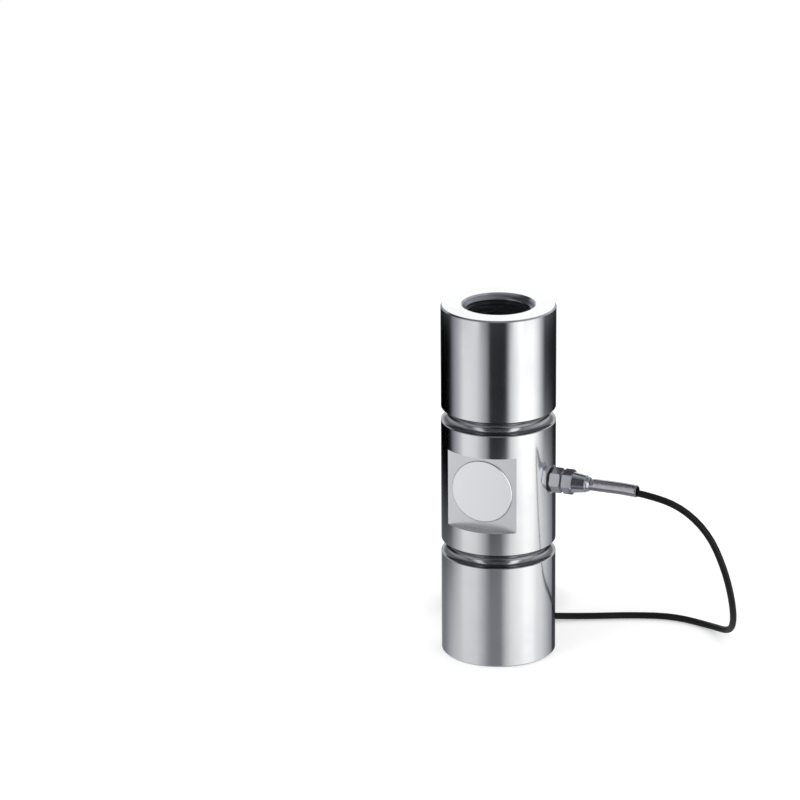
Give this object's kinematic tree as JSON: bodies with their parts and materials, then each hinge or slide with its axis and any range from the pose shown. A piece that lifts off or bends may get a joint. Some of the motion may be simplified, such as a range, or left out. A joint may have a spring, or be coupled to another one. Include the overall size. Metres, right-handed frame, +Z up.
{
  "type": "column load cell",
  "caption": "Round steel column load cell with a blind threaded hole in each end, milled flats with round welded covers, and a side gland with its signal cable.",
  "frame": {"origin": "centre of the column's bottom face", "axes": "+Z up the column's axis, -Y out of the front flat and its cover, +X out of the cable gland"},
  "size_m": [0.2207, 0.1697, 0.241],
  "materials": {
    "column_steel": "fine turned, bright",
    "cover_steel": "satin sheet",
    "gland_metal": "nickel plated, satin",
    "guard_metal": "close wound wire",
    "seal_rubber": "matt",
    "cable_jacket": "semi matt",
    "tie_plastic": "moulded",
    "shrink_plastic": "shrunk tube",
    "core_red": "insulation",
    "core_black": "insulation",
    "core_green": "insulation",
    "core_white": "insulation",
    "core_shield": "insulation",
    "gauge_film": "clear amber film",
    "board_laminate": "green laminate",
    "resistor_body": "lacquered",
    "copper_wire": "enamelled"
  },
  "bodies": {
    "root": {"column_body": "column_steel", "front_cover": "cover_steel", "rear_cover": "cover_steel", "front_axial_gauge": "gauge_film", "front_transverse_gauge": "gauge_film", "rear_axial_gauge": "gauge_film", "rear_transverse_gauge": "gauge_film", "front_axial_lead_1": "copper_wire", "front_axial_lead_2": "copper_wire", "front_transverse_lead_1": "copper_wire", "front_transverse_lead_2": "copper_wire", "rear_axial_lead_1": "copper_wire", "rear_axial_lead_2": "copper_wire", "rear_transverse_lead_1": "copper_wire", "rear_transverse_lead_2": "copper_wire", "front_terminal_board": "board_laminate", "rear_terminal_board": "board_laminate", "trim_resistor_1": "resistor_body", "trim_resistor_2": "resistor_body", "crossover_wire_1": "copper_wire", "crossover_wire_2": "copper_wire", "conductor_red": "core_red", "conductor_black": "core_black", "conductor_green": "core_green", "conductor_white": "core_white", "gland_seal_washer": "seal_rubber", "gland_body": "gland_metal", "gland_grommet": "seal_rubber", "gland_thrust_washer": "gland_metal", "gland_nut": "gland_metal", "gland_collar": "gland_metal", "kink_guard_sleeve": "guard_metal", "cable": "cable_jacket", "cable_coil": "cable_jacket", "cable_tie_1": "tie_plastic", "cable_tie_2": "tie_plastic", "cable_tail": "cable_jacket", "tail_shrink_sleeve": "shrink_plastic", "core_shield": "core_shield", "core_white": "core_white", "core_green": "core_green", "core_black": "core_black", "core_red": "core_red"}
  },
  "joints": []
}
